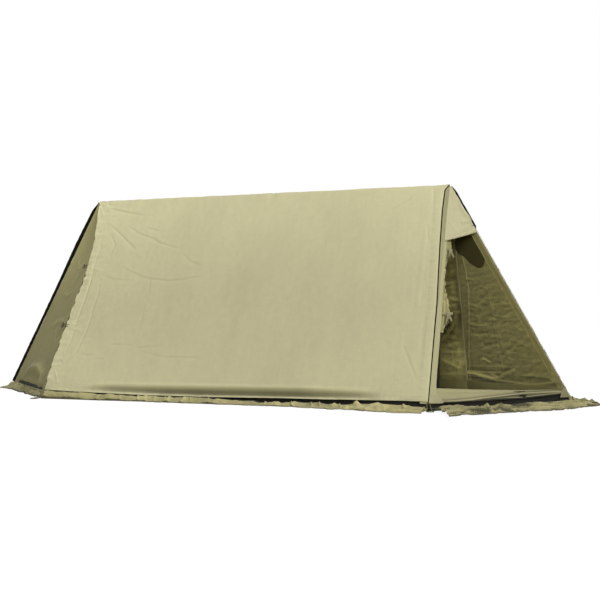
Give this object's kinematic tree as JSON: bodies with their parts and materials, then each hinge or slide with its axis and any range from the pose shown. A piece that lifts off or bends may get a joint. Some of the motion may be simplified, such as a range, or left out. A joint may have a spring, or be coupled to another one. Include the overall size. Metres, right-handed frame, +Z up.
{
  "type": "ridge tent",
  "caption": "Canvas ridge tent on A-frame poles, with a wedge-shaped beak at each end, a toggled door, a tied-back doorway curtain, mud flaps and peg loops.",
  "frame": {"origin": "on the ground under the middle of the ridge", "axes": "+X along the ridge towards the open beak, +Z up, the near roof panel at -Y"},
  "size_m": [3.5872, 1.7756, 1.1347],
  "materials": {
    "canvas": "matt olive-sand cotton canvas",
    "tape": "matt woven cotton tape",
    "pole": "satin drawn tube",
    "bracket": "cast, grey",
    "foot": "matt black",
    "wood": "turned and oiled, dark",
    "cord": "laid cord, dark olive",
    "groundsheet": "proofed canvas, slight sheen"
  },
  "bodies": {
    "root": {"roof_panel_near": "canvas", "roof_panel_far": "canvas", "right_beak_far": "canvas", "left_beak_far": "canvas", "right_side_strip": "canvas", "right_door_sill": "canvas", "right_door_curtain": "canvas", "right_door_tie_upper": "tape", "right_door_tie_lower": "tape", "right_corner_patch_near": "tape", "right_corner_patch_front": "tape", "right_front_edge_tape": "tape", "mud_flap_near": "canvas", "mud_flap_right_near": "canvas", "mud_flap_right_far": "canvas", "mud_flap_far": "canvas", "mud_flap_left_far": "canvas", "mud_flap_left_near": "canvas", "groundsheet": "groundsheet", "ridge_pole_left": "pole", "ridge_pole_middle": "pole", "ridge_pole_right": "pole", "ridge_spigot_left": "pole", "ridge_spigot_right": "pole", "apex_bracket_left": "bracket", "apex_bracket_right": "bracket", "leg_left_near_upper": "pole", "leg_left_near_lower": "pole", "leg_spigot_left_near": "pole", "leg_foot_left_near": "foot", "leg_left_far_upper": "pole", "leg_left_far_lower": "pole", "leg_spigot_left_far": "pole", "leg_foot_left_far": "foot", "leg_right_near_upper": "pole", "leg_right_near_lower": "pole", "leg_spigot_right_near": "pole", "leg_foot_right_near": "foot", "leg_right_far_upper": "pole", "leg_right_far_lower": "pole", "leg_spigot_right_far": "pole", "leg_foot_right_far": "foot", "peg_loop_left_near": "cord", "peg_loop_right_near": "cord", "peg_loop_right_tip": "cord", "peg_loop_right_far": "cord", "peg_loop_left_far": "cord", "peg_loop_left_tip": "cord", "left_door_upper_loop": "cord", "left_door_lower_loop": "cord"},
    "left_door": {"left_door": "canvas"},
    "left_door_upper_toggle": {"left_door_upper_toggle": "wood"},
    "left_door_lower_toggle": {"left_door_lower_toggle": "wood"},
    "right_hood": {"right_hood": "canvas", "right_hood_loop": "cord"},
    "right_hood_toggle": {"right_hood_toggle": "wood"}
  },
  "joints": [
    {"name": "left_door_hinge", "type": "hinge", "parent": "root", "child": "left_door", "pos_m": [-1.655, 0, 0.035], "axis": [-0.4819, 0, -0.8762], "range_deg": [0, 120]},
    {"name": "left_door_upper_toggle_turn", "type": "hinge", "parent": "left_door", "child": "left_door_upper_toggle", "pos_m": [-1.0366, -0.18462, 0.7311], "axis": [-0.5713, -0.7289, 0.3773], "range_deg": [0, 90]},
    {"name": "left_door_lower_toggle_turn", "type": "hinge", "parent": "left_door", "child": "left_door_lower_toggle", "pos_m": [-1.06383, -0.35771, 0.39281], "axis": [-0.6143, -0.6772, 0.405], "range_deg": [0, 90]},
    {"name": "right_hood_hinge", "type": "hinge", "parent": "root", "child": "right_hood", "pos_m": [1.05, 0, 1.135], "axis": [0, -0.4601, -0.8879], "range_deg": [0, 70]},
    {"name": "right_hood_toggle_turn", "type": "hinge", "parent": "root", "child": "right_hood_toggle", "pos_m": [1.15743, 0.01318, 0.91423], "axis": [0.6416, 0.681, 0.3529], "range_deg": [0, 90]}
  ]
}
